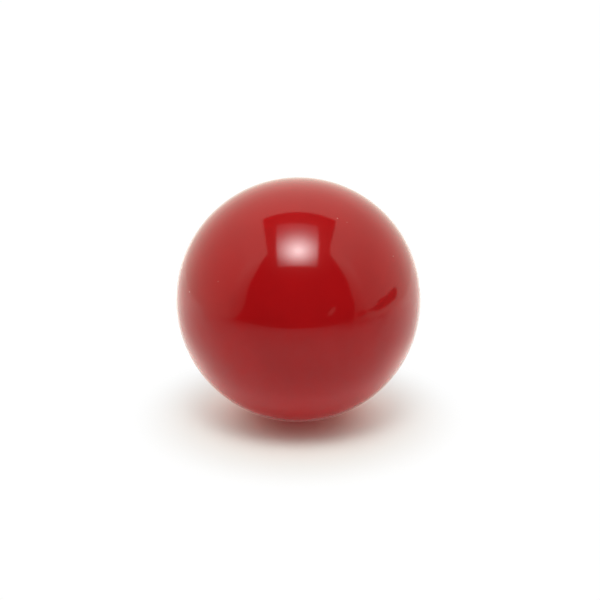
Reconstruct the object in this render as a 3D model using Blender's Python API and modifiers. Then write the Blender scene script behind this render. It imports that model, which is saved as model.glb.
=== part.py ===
"""A drilled ten-pin bowling ball with an interchangeable thumb, as separate solids.

The origin is the ball's centre and +Z is up. The grip lies level round the back of the ball, from the thumb
near +Y to the two fingers near -X, and an empty named grip carries it: in that empty's frame +Y points out of
the middle of the grip, +Z towards the thumb, and the two fingers lie to either side of X = 0. Each piece in a
hole is made round its own Z axis and carried by an empty whose Z axis points out of that hole. Every hole
points at the ball's centre except the two for the fingers, which pass to either side of it so that they don't
run into each other.
"""

import math

import bmesh
import bpy
from mathutils import Matrix

# Driving dimensions, in metres and degrees.
BALL_DIAMETER = 0.217
COVER_THICKNESS = 0.019
FLOOR_FLAT_RADIUS = 0.004
GAP = 0.0003  # between pieces that are cast, glued or seated on each other
OVERCUT = 0.010  # how far a drill reaches past the ball's surface

GRIP_TURN = 42.0  # of the middle of the grip, from +Y towards -X
SPAN = 0.114  # from the thumb bore's edge to the finger bores' edges, along the surface
BRIDGE = 0.0064  # between the two finger inserts
FINGER_WALL = 0.002  # left between the two finger holes at their ends

INSERT_DIAMETER = 0.0246
INSERT_BORE = 0.0195
INSERT_LENGTH = 0.032
INSERT_LIP = 0.0022
INSERT_CHAMFER = 0.0010
MOUTH_SLACK = 0.00025  # how far inside the bore the rounding starts, as the bore leans a little from it
FINGER_DRILL_DEPTH = 0.035
DRILL_POINT_DEPTH = 0.003

BLOCK_DIAMETER = 0.088
BLOCK_THICKNESS = 0.022
BLOCK_COVERING = 0.0345  # from the ball's surface to the block's top face
BLOCK_CHAMFER = 0.005
PIN_DIAMETER = 0.008
PIN_SHIFT = 0.012  # along the surface, from the middle of the grip towards the fingers
DOT_DIAMETER = 0.003
DOT_THICKNESS = 0.0009
DOT_SHIFT = 0.014  # along the surface, from the pin towards the thumb

THUMB_DRILL_DEPTH = 0.0762
SLEEVE_DIAMETER = 0.0381
SLEEVE_WALL = 0.00285
SLEEVE_FLOOR = 0.002
SLEEVE_VENT_DIAMETER = 0.006
SLUG_CLEARANCE = 0.0004
SLUG_CHAMFER = 0.0008
SPRING_INNER_DIAMETER = 0.019
SPRING_OUTER_DIAMETER = 0.029
SPRING_THICKNESS = 0.0005
SPRING_WAVE = 0.0007
SPRING_WAVES = 3

THUMB_BORE = 0.023
THUMB_OVAL = 1.06  # the bore's length over its width
THUMB_BORE_DEPTH = 0.0545
THUMB_LIP = 0.0024
THUMB_FLOOR_ROUND = 0.003

INDEX_RING_HEIGHT = 0.004
INDEX_RING_WIDTH = 0.0023
INDEX_RING_SPLIT = 0.0025
INDEX_RING_LEVEL = 0.003  # from the slug's lower end to the ring's groove
LOCK_PIN_DIAMETER = 0.004
LOCK_PIN_LENGTH = 0.0075
LOCK_PIN_REACH = 0.0014  # past the slug's side
LOCK_PIN_LEVEL = 0.0025  # from the ring's groove to the pins' lower side
LOCK_TURN = 60.0

O_RING_SECTION = 0.0017
O_RING_DEPTH = 0.016
O_RING_SQUEEZE = 0.0001  # how far it stands out of the slug

TAPE_THICKNESS = 0.0006
TAPE_LENGTH = 0.025
TAPE_DEPTH = 0.008  # from the surface to the tape's upper end
TAPE_SPREAD = 70.0  # of the bore's circle

# How finely round shapes are divided.
BALL_SIDES = 64
CORE_SIDES = 40
BORE_SIDES = 40
SMALL_SIDES = 20
ARC_POINTS = 5
MERGE = 0.00001
SHARP_ANGLE = math.radians(30)

# Worked out from the above.
BALL_RADIUS = BALL_DIAMETER / 2
CAVITY_RADIUS = BALL_RADIUS - COVER_THICKNESS
CORE_RADIUS = CAVITY_RADIUS - GAP
GRIP_ANGLE = math.degrees((SPAN + THUMB_BORE / 2 + INSERT_BORE / 2) / BALL_RADIUS)
THUMB_TILT = GRIP_ANGLE / 2
FINGER_TILT = -GRIP_ANGLE / 2
FINGER_OFFSET = (INSERT_DIAMETER + BRIDGE) / 2
FINGER_END_OFFSET = INSERT_DIAMETER / 2 + GAP + FINGER_WALL / 2
FINGER_LEAN = math.atan((FINGER_OFFSET - FINGER_END_OFFSET) / FINGER_DRILL_DEPTH)
FINGER_CHORD = math.sqrt(BALL_RADIUS**2 - FINGER_OFFSET**2)
FINGER_PITCH = FINGER_OFFSET - FINGER_CHORD * math.tan(FINGER_LEAN)
FINGER_MOUTH = FINGER_CHORD / math.cos(FINGER_LEAN)
FINGER_SPLAY = math.degrees(FINGER_LEAN)
FINGER_SIDE = math.degrees(math.asin(FINGER_OFFSET / BALL_RADIUS))
PIN_TILT = -math.degrees(PIN_SHIFT / BALL_RADIUS)
DOT_TILT = PIN_TILT + math.degrees(DOT_SHIFT / BALL_RADIUS)

# Heights along the thumb's axis, from the ball's centre, from the bottom of its hole upwards.
SLEEVE_BOTTOM = BALL_RADIUS - THUMB_DRILL_DEPTH + GAP
SPRING_MIDDLE = SLEEVE_BOTTOM + SLEEVE_FLOOR + GAP + SPRING_WAVE + SPRING_THICKNESS / 2
SLUG_BOTTOM = SPRING_MIDDLE + SPRING_WAVE + SPRING_THICKNESS / 2 + GAP
RING_BOTTOM = SLUG_BOTTOM + INDEX_RING_LEVEL + GAP
RING_TOP = RING_BOTTOM + INDEX_RING_HEIGHT
LOCK_HEIGHT = RING_TOP + GAP + LOCK_PIN_LEVEL + LOCK_PIN_DIAMETER / 2
O_RING_HEIGHT = BALL_RADIUS - O_RING_DEPTH

# Radii about the thumb's axis.
SLEEVE_RADIUS = SLEEVE_DIAMETER / 2
SLEEVE_INNER = SLEEVE_RADIUS - SLEEVE_WALL
SLUG_RADIUS = SLEEVE_INNER - SLUG_CLEARANCE
LOCK_RADIUS = SLUG_RADIUS + LOCK_PIN_REACH
SLOT_RADIUS = LOCK_RADIUS + GAP
RING_INNER = SLUG_RADIUS - INDEX_RING_WIDTH
O_RING_RADIUS = SLUG_RADIUS + O_RING_SQUEEZE - O_RING_SECTION / 2

RED = (0.42, 0.008, 0.010)
FILLER_GREY = (0.30, 0.30, 0.28)
BLOCK_BROWN = (0.16, 0.12, 0.09)
BLACK = (0.015, 0.015, 0.016)
CHARCOAL = (0.035, 0.035, 0.038)
WHITE = (0.75, 0.74, 0.70)
STEEL = (0.56, 0.57, 0.58)


def collection(name):
    """A new collection in the scene."""
    made = bpy.data.collections.new(name)
    bpy.context.scene.collection.children.link(made)
    return made


def material(name, colour, roughness, metallic=0.0):
    """A plain material of one colour."""
    made = bpy.data.materials.new(name)
    made.use_nodes = True
    shader = made.node_tree.nodes["Principled BSDF"]
    shader.inputs["Base Color"].default_value = (*colour, 1.0)
    shader.inputs["Roughness"].default_value = roughness
    shader.inputs["Metallic"].default_value = metallic
    made.diffuse_color = (*colour, 1.0)
    return made


def put(name, mesh, group, axis=None):
    """An object in a collection, carried by an axis empty where it has one."""
    obj = bpy.data.objects.new(name, mesh)
    group.objects.link(obj)
    obj.parent = axis
    return obj


def grip_empty(group):
    """The empty at the ball's centre that carries the grip, level round the ball's back."""
    grip = bpy.data.objects.new("grip", None)
    group.objects.link(grip)
    level = Matrix.Rotation(math.radians(90.0), 4, "Y")
    grip.matrix_basis = Matrix.Rotation(math.radians(GRIP_TURN), 4, "Z") @ level
    return grip


def axis_empty(name, grip, tilt, side=0.0, shift=0.0):
    """An empty whose Z axis points out of the ball, tilted from the grip's +Y towards its +Z.

    It may then be turned aside towards the grip's +X, and stand that far along it from the ball's centre.
    """
    empty = bpy.data.objects.new(name, None)
    grip.users_collection[0].objects.link(empty)
    empty.parent = grip
    lean = Matrix.Rotation(math.radians(tilt - 90.0), 4, "X")
    turn = Matrix.Rotation(math.radians(side), 4, "Y")
    empty.matrix_basis = Matrix.Translation((shift, 0.0, 0.0)) @ lean @ turn
    return empty


def shaded(mesh):
    """The mesh shaded smooth, with its real edges left sharp."""
    mesh.shade_smooth()
    mesh.set_sharp_from_angle(angle=SHARP_ANGLE)
    return mesh


def bake(obj):
    """Applies the object's modifiers to its mesh."""
    bpy.context.view_layer.update()
    graph = bpy.context.evaluated_depsgraph_get()
    mesh = bpy.data.meshes.new_from_object(obj.evaluated_get(graph))
    obj.modifiers.clear()
    obj.data = shaded(mesh)
    return obj


def turned(name, profile, sides, group, axis=None, loop=False):
    """A body turned about its Z axis from (radius, height) points that run down its outer side."""
    points = [(radius, 0.0, height) for radius, height in profile]
    edges = [(i, i + 1) for i in range(len(points) - 1)]
    if loop:
        edges.append((len(points) - 1, 0))
    mesh = bpy.data.meshes.new(name)
    mesh.from_pydata(points, edges, [])
    obj = put(name, mesh, group, axis)
    screw = obj.modifiers.new("turn", "SCREW")
    screw.steps = sides
    screw.render_steps = sides
    screw.use_merge_vertices = True
    screw.merge_threshold = MERGE
    return bake(obj)


def box(name, low, high, group, axis):
    """A box between two corners."""
    mesh = bpy.data.meshes.new(name)
    form = bmesh.new()
    bmesh.ops.create_cube(form, size=1.0)
    for vertex in form.verts:
        for k in range(3):
            vertex.co[k] = low[k] + (vertex.co[k] + 0.5) * (high[k] - low[k])
    form.to_mesh(mesh)
    form.free()
    return put(name, mesh, group, axis)


def combine(obj, operation, *others):
    """Joins solids to the object, or cuts them out of it."""
    for other in others:
        boolean = obj.modifiers.new(other.name, "BOOLEAN")
        boolean.operation = operation
        boolean.solver = "EXACT"
        boolean.object = other


def arc(centre, radius, start, end, count=ARC_POINTS):
    """Points on a circle's arc from one angle to another, in degrees, both ends included."""
    turns = [math.radians(start + (end - start) * i / (count - 1)) for i in range(count)]
    return [(centre[0] + radius * math.cos(t), centre[1] + radius * math.sin(t)) for t in turns]


def surface_height(radius):
    """How high the ball's surface is, along any axis through its centre, at that distance from the axis."""
    return math.sqrt(BALL_RADIUS**2 - radius**2)


def surface_run(inner, outer, count=ARC_POINTS):
    """Points on the ball's surface between two distances from an axis, from the inner one to the outer."""
    radii = [inner + (outer - inner) * i / (count - 1) for i in range(count)]
    return [(radius, surface_height(radius)) for radius in radii]


def lip(bore_radius, lip_radius):
    """A rounded edge where a bore meets the ball's surface, from the bore's wall outwards."""
    height = surface_height(bore_radius + lip_radius) - lip_radius
    return arc((bore_radius + lip_radius, height), lip_radius, 180.0, 90.0)


def ball_profile(radius, sides, flat_radius=0.0):
    """A half circle from top to bottom, ending in a small flat where one is given."""
    rings = sides // 2
    turns = [math.pi * k / rings for k in range(rings)]
    points = [(radius * math.sin(t), radius * math.cos(t)) for t in turns]
    if flat_radius:
        height = -math.sqrt(radius**2 - flat_radius**2)
        return [*points, (flat_radius, height), (0.0, height)]
    return [*points, (0.0, -radius)]


def block_profile(grow=0.0):
    """The pancake block's outline about the pin's axis, made larger all round for its hollow."""
    radius = BLOCK_DIAMETER / 2 + grow
    edge = radius - BLOCK_CHAMFER
    top = BALL_RADIUS - BLOCK_COVERING + grow
    bottom = top - BLOCK_THICKNESS - 2 * grow
    upper = [(0.0, top), (edge, top), (radius, top - BLOCK_CHAMFER)]
    return [*upper, (radius, bottom + BLOCK_CHAMFER), (edge, bottom), (0.0, bottom)]


def drill(name, diameter, end, sides, group, axis, point=0.0):
    """A cutter for a piece's hole, down to a height above the ball's centre, then to a drill point."""
    radius = diameter / 2 + GAP
    top = BALL_RADIUS + OVERCUT
    return turned(name, [(0.0, top), (radius, top), (radius, end), (0.0, end - point)], sides, group, axis)


def make_cutters(group, axes):
    """The tools that shape the cast ball: its hollow, its drills and its markers' holes."""
    thumb_end = BALL_RADIUS - THUMB_DRILL_DEPTH
    finger_end = FINGER_MOUTH - FINGER_DRILL_DEPTH
    pin_end = BALL_RADIUS - BLOCK_COVERING
    dot_end = BALL_RADIUS - DOT_THICKNESS - GAP
    cutters = {
        "cavity": turned("cut_cavity", ball_profile(CAVITY_RADIUS, CORE_SIDES), CORE_SIDES, group),
        "block": turned("cut_block", block_profile(GAP), CORE_SIDES, group, axes["pin"]),
        "thumb": drill("cut_thumb", SLEEVE_DIAMETER, thumb_end, BORE_SIDES, group, axes["thumb"]),
        "pin": drill("cut_pin", PIN_DIAMETER, pin_end, SMALL_SIDES, group, axes["pin"]),
        "dot": drill("cut_dot", DOT_DIAMETER, dot_end, SMALL_SIDES, group, axes["dot"]),
    }
    for finger in ("middle", "ring"):
        cutters[finger] = drill(
            f"cut_{finger}", INSERT_DIAMETER, finger_end, BORE_SIDES, group, axes[finger], DRILL_POINT_DEPTH
        )
    return cutters


def make_cast_ball(group, axes, cutters):
    """The cover, the filler inside it, the pancake weight block inside that, and the two markers."""
    drills = [cutters["thumb"], cutters["middle"], cutters["ring"]]
    cover = turned("coverstock", ball_profile(BALL_RADIUS, BALL_SIDES, FLOOR_FLAT_RADIUS), BALL_SIDES, group)
    combine(cover, "DIFFERENCE", cutters["cavity"], *drills, cutters["pin"], cutters["dot"])
    cover.data.materials.append(material("red_polyester", RED, 0.08))

    core = turned("core_filler", ball_profile(CORE_RADIUS, CORE_SIDES), CORE_SIDES, group)
    combine(core, "DIFFERENCE", cutters["block"], *drills, cutters["pin"])
    core.data.materials.append(material("core_filler", FILLER_GREY, 0.8))

    weight = turned("weight_block", block_profile(), CORE_SIDES, group, axes["pin"])
    combine(weight, "DIFFERENCE", *drills)
    weight.data.materials.append(material("weight_block", BLOCK_BROWN, 0.7))

    pin_radius = PIN_DIAMETER / 2
    pin_foot = BALL_RADIUS - BLOCK_COVERING + GAP
    pin_profile = [*surface_run(0.0, pin_radius), (pin_radius, pin_foot), (0.0, pin_foot)]
    pin = turned("locator_pin", pin_profile, SMALL_SIDES, group, axes["pin"])
    pin.data.materials.append(material("locator_pin", WHITE, 0.25))

    dot_radius = DOT_DIAMETER / 2
    dot_foot = BALL_RADIUS - DOT_THICKNESS
    dot_profile = [*surface_run(0.0, dot_radius), (dot_radius, dot_foot), (0.0, dot_foot)]
    dot = turned("centre_of_gravity_dot", dot_profile, SMALL_SIDES, group, axes["dot"])
    dot.data.materials.append(material("marker_dot", WHITE, 0.3))


def make_finger_insert(name, group, tools, axis, mouth_axis, ball, finish):
    """A moulded tube glued into a finger hole, sanded flush with the ball and rounded at its mouth."""
    outer = INSERT_DIAMETER / 2
    inner = INSERT_BORE / 2
    top = FINGER_MOUTH + OVERCUT / 2
    foot = FINGER_MOUTH - INSERT_LENGTH
    outside = [(outer, top), (outer, foot + INSERT_CHAMFER), (outer - INSERT_CHAMFER, foot)]
    insert = turned(name, [*outside, (inner, foot), (inner, top)], BORE_SIDES, group, axis, loop=True)
    mouth_start = inner - MOUTH_SLACK
    mouth = lip(mouth_start, INSERT_LIP)[::-1]
    above = BALL_RADIUS + OVERCUT
    mouth_profile = [(0.0, above), (mouth_start + INSERT_LIP, above), *mouth, (0.0, mouth[-1][1])]
    mouth_cutter = turned(f"cut_{name}_mouth", mouth_profile, BORE_SIDES, tools, mouth_axis)
    combine(insert, "INTERSECT", ball)
    combine(insert, "DIFFERENCE", mouth_cutter)
    insert.data.materials.append(finish)


def make_thumb_sleeve(group, tools, axis):
    """The cup glued into the thumb hole, with two entry slots down its wall and a lock groove beside each."""
    vent = SLEEVE_VENT_DIAMETER / 2
    floor_top = SLEEVE_BOTTOM + SLEEVE_FLOOR
    profile = [
        *surface_run(SLEEVE_INNER, SLEEVE_RADIUS),
        (SLEEVE_RADIUS, SLEEVE_BOTTOM),
        (vent, SLEEVE_BOTTOM),
        (vent, floor_top),
        (SLEEVE_INNER, floor_top),
    ]
    sleeve = turned("thumb_outer_sleeve", profile, BORE_SIDES, group, axis, loop=True)
    half_width = LOCK_PIN_DIAMETER / 2 + GAP
    slot_foot = RING_BOTTOM - GAP
    slots = box(
        "cut_entry_slots",
        (-SLOT_RADIUS, -half_width, slot_foot),
        (SLOT_RADIUS, half_width, BALL_RADIUS + OVERCUT),
        tools,
        axis,
    )
    first_groove = lock_groove("cut_lock_groove_right", tools, axis, 0.0, half_width)
    second_groove = lock_groove("cut_lock_groove_left", tools, axis, 180.0, half_width)
    combine(sleeve, "DIFFERENCE", slots, first_groove, second_groove)
    sleeve.data.materials.append(material("thumb_sleeve", CHARCOAL, 0.35))


def lock_groove(name, group, axis, start, half_height):
    """A cutter for the groove that a lock pin turns through, clockwise from its slot as seen from outside."""
    end_room = math.degrees(half_height / SLUG_RADIUS)
    mesh = bpy.data.meshes.new(name)
    form = bmesh.new()
    section = [
        (SLEEVE_INNER - SLEEVE_WALL / 2, LOCK_HEIGHT - half_height),
        (SLOT_RADIUS, LOCK_HEIGHT - half_height),
        (SLOT_RADIUS, LOCK_HEIGHT + half_height),
        (SLEEVE_INNER - SLEEVE_WALL / 2, LOCK_HEIGHT + half_height),
    ]
    face = form.faces.new([form.verts.new((radius, 0.0, height)) for radius, height in section])
    bmesh.ops.spin(
        form,
        geom=[face, *face.edges, *face.verts],
        cent=(0.0, 0.0, 0.0),
        axis=(0.0, 0.0, 1.0),
        angle=-math.radians(LOCK_TURN + end_room),
        steps=SMALL_SIDES // 2,
        use_duplicate=False,
    )
    bmesh.ops.rotate(form, verts=form.verts, matrix=Matrix.Rotation(math.radians(start), 3, "Z"))
    bmesh.ops.recalc_face_normals(form, faces=form.faces)
    form.to_mesh(mesh)
    form.free()
    return put(name, mesh, group, axis)


def make_wave_spring(group, axis):
    """A flat ring bent into waves round its circle, which pushes the slug up against its lock pins."""
    inner = SPRING_INNER_DIAMETER / 2
    outer = SPRING_OUTER_DIAMETER / 2
    high = SPRING_MIDDLE + SPRING_THICKNESS / 2
    low = SPRING_MIDDLE - SPRING_THICKNESS / 2
    profile = [(outer, high), (outer, low), (inner, low), (inner, high)]
    spring = turned("thumb_wave_spring", profile, BORE_SIDES, group, axis, loop=True)
    for vertex in spring.data.vertices:
        turn = math.atan2(vertex.co.y, vertex.co.x)
        vertex.co.z += SPRING_WAVE * math.cos(SPRING_WAVES * turn)
    spring.data.materials.append(material("spring_steel", STEEL, 0.3, 1.0))


def make_index_ring(group, tools, axis):
    """A split nylon ring in a groove of the slug, whose keys stay in the entry slots as the slug turns."""
    outside = [(SLUG_RADIUS, RING_TOP), (SLUG_RADIUS, RING_BOTTOM)]
    profile = [*outside, (RING_INNER, RING_BOTTOM), (RING_INNER, RING_TOP)]
    ring = turned("thumb_index_ring", profile, BORE_SIDES, group, axis, loop=True)
    half_width = LOCK_PIN_DIAMETER / 2
    root = SLUG_RADIUS - INDEX_RING_WIDTH / 2
    for side, name in ((1, "key_right"), (-1, "key_left")):
        near, far = sorted((side * root, side * LOCK_RADIUS))
        key = box(name, (near, -half_width, RING_BOTTOM), (far, half_width, RING_TOP), tools, axis)
        combine(ring, "UNION", key)
    half_split = INDEX_RING_SPLIT / 2
    split = box(
        "cut_ring_split",
        (-half_split, 0.0, RING_BOTTOM - OVERCUT),
        (half_split, SLEEVE_RADIUS, RING_TOP + OVERCUT),
        tools,
        axis,
    )
    combine(ring, "DIFFERENCE", split)
    ring.data.materials.append(material("index_nylon", WHITE, 0.45))


def make_thumb_slug(group, tools, axis):
    """The removable slug: a plug with an oval thumb bore and grooves for the O-ring and the index ring."""
    neck = RING_INNER - GAP
    seal = O_RING_RADIUS - O_RING_SECTION / 2 - GAP
    seal_half = O_RING_SECTION / 2 + GAP
    profile = [
        *surface_run(0.0, SLUG_RADIUS),
        (SLUG_RADIUS, O_RING_HEIGHT + seal_half),
        (seal, O_RING_HEIGHT + seal_half),
        (seal, O_RING_HEIGHT - seal_half),
        (SLUG_RADIUS, O_RING_HEIGHT - seal_half),
        (SLUG_RADIUS, RING_TOP + GAP),
        (neck, RING_TOP + GAP),
        (neck, RING_BOTTOM - GAP),
        (SLUG_RADIUS, RING_BOTTOM - GAP),
        (SLUG_RADIUS, SLUG_BOTTOM + SLUG_CHAMFER),
        (SLUG_RADIUS - SLUG_CHAMFER, SLUG_BOTTOM),
        (0.0, SLUG_BOTTOM),
    ]
    slug = turned("thumb_slug", profile, BORE_SIDES, group, axis)
    bore = THUMB_BORE / 2
    bore_floor = BALL_RADIUS - THUMB_BORE_DEPTH
    top = BALL_RADIUS + OVERCUT
    mouth = lip(bore, THUMB_LIP)[::-1]
    floor_centre = (bore - THUMB_FLOOR_ROUND, bore_floor + THUMB_FLOOR_ROUND)
    round_floor = arc(floor_centre, THUMB_FLOOR_ROUND, 0.0, -90.0)
    bore_profile = [(0.0, top), (bore + THUMB_LIP, top), *mouth, *round_floor, (0.0, bore_floor)]
    thumb_bore = turned("cut_thumb_bore", bore_profile, BORE_SIDES, tools, axis)
    thumb_bore.scale.y = THUMB_OVAL
    holes = [lock_pin(f"cut_lock_pin_{side}", tools, axis, side, GAP) for side in (-1, 1)]
    combine(slug, "DIFFERENCE", thumb_bore, *holes)
    slug.data.materials.append(material("thumb_slug", BLACK, 0.3))


def lock_pin(name, group, axis, side, grow=0.0):
    """A dowel across the slug's side at the height of the lock grooves, made larger for its hole."""
    radius = LOCK_PIN_DIAMETER / 2 + grow
    size = {"radius1": radius, "radius2": radius, "depth": LOCK_PIN_LENGTH + 2 * grow}
    mesh = bpy.data.meshes.new(name)
    form = bmesh.new()
    bmesh.ops.create_cone(form, cap_ends=True, segments=SMALL_SIDES, **size)
    bmesh.ops.rotate(form, verts=form.verts, matrix=Matrix.Rotation(math.radians(90.0), 3, "Y"))
    form.to_mesh(mesh)
    form.free()
    pin = put(name, shaded(mesh), group, axis)
    pin.location = (side * (LOCK_RADIUS - LOCK_PIN_LENGTH / 2), 0.0, LOCK_HEIGHT)
    return pin


def make_lock_pins(group, axis):
    """The two dowels that lock the slug in its sleeve."""
    finish = material("lock_pin_steel", STEEL, 0.25, 1.0)
    for side, name in ((-1, "lock_pin_left"), (1, "lock_pin_right")):
        lock_pin(name, group, axis, side).data.materials.append(finish)


def make_o_ring(group, axis):
    """The rubber ring that stops the slug rattling."""
    section = O_RING_SECTION / 2
    profile = arc((O_RING_RADIUS, O_RING_HEIGHT), section, 90.0, -270.0, 2 * ARC_POINTS - 1)[:-1]
    ring = turned("thumb_o_ring", profile, BORE_SIDES, group, axis, loop=True)
    ring.data.materials.append(material("o_ring_rubber", BLACK, 0.6))


def make_tape(name, group, axis, middle, finish):
    """A strip of grip tape on the thumb bore's wall, as a thin curved band run along the bore."""
    outer = THUMB_BORE / 2 - GAP
    inner = outer - TAPE_THICKNESS
    steps = 2 * ARC_POINTS
    turns = [math.radians(middle + TAPE_SPREAD * (i / steps - 0.5)) for i in range(steps + 1)]
    lengthen = THUMB_BORE / 2 * (THUMB_OVAL - 1.0)
    outline = [(outer * math.cos(t), (outer + lengthen) * math.sin(t)) for t in turns]
    outline += [(inner * math.cos(t), (inner + lengthen) * math.sin(t)) for t in reversed(turns)]
    curve = bpy.data.curves.new(name, "CURVE")
    curve.dimensions = "2D"
    curve.fill_mode = "BOTH"
    curve.extrude = TAPE_LENGTH / 2
    spline = curve.splines.new("POLY")
    spline.points.add(len(outline) - 1)
    for point, (x, y) in zip(spline.points, outline):
        point.co = (x, y, 0.0, 1.0)
    spline.use_cyclic_u = True
    tape = put(name, curve, group, axis)
    tape.location.z = BALL_RADIUS - TAPE_DEPTH - TAPE_LENGTH / 2
    curve.materials.append(finish)


def main():
    for obj in list(bpy.data.objects):
        bpy.data.objects.remove(obj)
    ball = collection("bowling_ball")
    tools = collection("cutters")
    grip = grip_empty(ball)
    axes = {
        "thumb": axis_empty("thumb_axis", grip, THUMB_TILT),
        "middle": axis_empty("middle_finger_axis", grip, FINGER_TILT, -FINGER_SPLAY, -FINGER_PITCH),
        "middle_mouth": axis_empty("middle_finger_mouth_axis", grip, FINGER_TILT, -FINGER_SIDE),
        "ring": axis_empty("ring_finger_axis", grip, FINGER_TILT, FINGER_SPLAY, FINGER_PITCH),
        "ring_mouth": axis_empty("ring_finger_mouth_axis", grip, FINGER_TILT, FINGER_SIDE),
        "pin": axis_empty("pin_axis", grip, PIN_TILT),
        "dot": axis_empty("dot_axis", grip, DOT_TILT),
    }
    cutters = make_cutters(tools, axes)
    make_cast_ball(ball, axes, cutters)
    insert_finish = material("finger_insert", CHARCOAL, 0.5)
    whole_ball = turned("whole_ball", ball_profile(BALL_RADIUS, BALL_SIDES), BALL_SIDES, tools)
    for finger in ("middle", "ring"):
        name = f"{finger}_finger_insert"
        mouth = axes[f"{finger}_mouth"]
        make_finger_insert(name, ball, tools, axes[finger], mouth, whole_ball, insert_finish)
    make_thumb_sleeve(ball, tools, axes["thumb"])
    make_wave_spring(ball, axes["thumb"])
    make_index_ring(ball, tools, axes["thumb"])
    make_thumb_slug(ball, tools, axes["thumb"])
    make_lock_pins(ball, axes["thumb"])
    make_o_ring(ball, axes["thumb"])
    make_tape("thumb_tape_front", ball, axes["thumb"], 90.0, material("front_tape", BLACK, 0.5))
    make_tape("thumb_tape_back", ball, axes["thumb"], -90.0, material("back_tape", WHITE, 0.8))
    for obj in tools.objects:
        obj.hide_render = True
        obj.display_type = "WIRE"


main()
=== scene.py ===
"""The looks of the drilled bowling ball: fine surfaces, materials, and a small white studio round it.

Everything is in metres in the frame of the CAD model: the ball's centre is the origin and +Z is up. The sizes
below that have the CAD source's names have its values too. Each turned piece is made round its own Z axis,
and then laid along the axis of its hole, while an attribute keeps where each point was on that axis. The
materials read that attribute, so their turning marks and weaves follow the piece.
"""

import math

import bmesh
import bpy
from mathutils import Matrix, Vector


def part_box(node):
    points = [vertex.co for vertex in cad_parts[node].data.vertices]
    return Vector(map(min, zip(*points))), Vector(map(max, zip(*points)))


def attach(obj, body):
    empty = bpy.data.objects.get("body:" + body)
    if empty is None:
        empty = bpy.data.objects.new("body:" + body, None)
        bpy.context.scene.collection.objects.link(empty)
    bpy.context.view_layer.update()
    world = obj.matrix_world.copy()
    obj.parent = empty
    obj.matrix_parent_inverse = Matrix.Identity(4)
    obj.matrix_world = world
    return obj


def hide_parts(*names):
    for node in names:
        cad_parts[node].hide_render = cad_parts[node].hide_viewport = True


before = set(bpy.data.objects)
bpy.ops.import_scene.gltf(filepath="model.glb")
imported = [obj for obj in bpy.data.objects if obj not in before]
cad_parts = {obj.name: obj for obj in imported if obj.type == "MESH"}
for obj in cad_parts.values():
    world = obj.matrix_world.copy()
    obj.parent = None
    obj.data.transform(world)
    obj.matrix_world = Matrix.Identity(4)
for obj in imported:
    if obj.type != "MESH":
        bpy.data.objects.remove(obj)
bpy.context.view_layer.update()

# The ball, in metres and degrees: two sizes from the frame, and the rest as in the CAD source.
BALL_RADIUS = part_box("coverstock")[1].z
FLOOR_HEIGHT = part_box("coverstock")[0].z
COVER_THICKNESS = 0.019
GAP = 0.0003
OVERCUT = 0.010

GRIP_TURN = 42.0
SPAN = 0.114
BRIDGE = 0.0064
FINGER_WALL = 0.002

INSERT_DIAMETER = 0.0246
INSERT_BORE = 0.0195
INSERT_LENGTH = 0.032
INSERT_LIP = 0.0022
INSERT_CHAMFER = 0.0010
MOUTH_SLACK = 0.00025
FINGER_DRILL_DEPTH = 0.035
DRILL_POINT_DEPTH = 0.003

BLOCK_COVERING = 0.0345
PIN_DIAMETER = 0.008
PIN_SHIFT = 0.012
DOT_DIAMETER = 0.003
DOT_THICKNESS = 0.0009
DOT_SHIFT = 0.014

THUMB_DRILL_DEPTH = 0.0762
SLEEVE_DIAMETER = 0.0381
SLEEVE_WALL = 0.00285
SLEEVE_FLOOR = 0.002
SLEEVE_VENT_DIAMETER = 0.006
SLUG_CLEARANCE = 0.0004
SLUG_CHAMFER = 0.0008
SPRING_INNER_DIAMETER = 0.019
SPRING_OUTER_DIAMETER = 0.029
SPRING_THICKNESS = 0.0005
SPRING_WAVE = 0.0007
SPRING_WAVES = 3

THUMB_BORE = 0.023
THUMB_OVAL = 1.06
THUMB_BORE_DEPTH = 0.0545
THUMB_LIP = 0.0024
THUMB_FLOOR_ROUND = 0.003

INDEX_RING_HEIGHT = 0.004
INDEX_RING_WIDTH = 0.0023
INDEX_RING_SPLIT = 0.0025
INDEX_RING_LEVEL = 0.003
LOCK_PIN_DIAMETER = 0.004
LOCK_PIN_LENGTH = 0.0075
LOCK_PIN_REACH = 0.0014
LOCK_PIN_LEVEL = 0.0025
LOCK_TURN = 60.0

O_RING_SECTION = 0.0017
O_RING_DEPTH = 0.016
O_RING_SQUEEZE = 0.0001

TAPE_THICKNESS = 0.0006
TAPE_LENGTH = 0.025
TAPE_DEPTH = 0.008
TAPE_SPREAD = 70.0

# Worked out from the above, as in the CAD source.
GRIP_ANGLE = math.degrees((SPAN + THUMB_BORE / 2 + INSERT_BORE / 2) / BALL_RADIUS)
THUMB_TILT = GRIP_ANGLE / 2
FINGER_TILT = -GRIP_ANGLE / 2
FINGER_OFFSET = (INSERT_DIAMETER + BRIDGE) / 2
FINGER_END_OFFSET = INSERT_DIAMETER / 2 + GAP + FINGER_WALL / 2
FINGER_LEAN = math.atan((FINGER_OFFSET - FINGER_END_OFFSET) / FINGER_DRILL_DEPTH)
FINGER_CHORD = math.sqrt(BALL_RADIUS**2 - FINGER_OFFSET**2)
FINGER_PITCH = FINGER_OFFSET - FINGER_CHORD * math.tan(FINGER_LEAN)
FINGER_MOUTH = FINGER_CHORD / math.cos(FINGER_LEAN)
FINGER_SPLAY = math.degrees(FINGER_LEAN)
FINGER_SIDE = math.degrees(math.asin(FINGER_OFFSET / BALL_RADIUS))
PIN_TILT = -math.degrees(PIN_SHIFT / BALL_RADIUS)
DOT_TILT = PIN_TILT + math.degrees(DOT_SHIFT / BALL_RADIUS)

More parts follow.
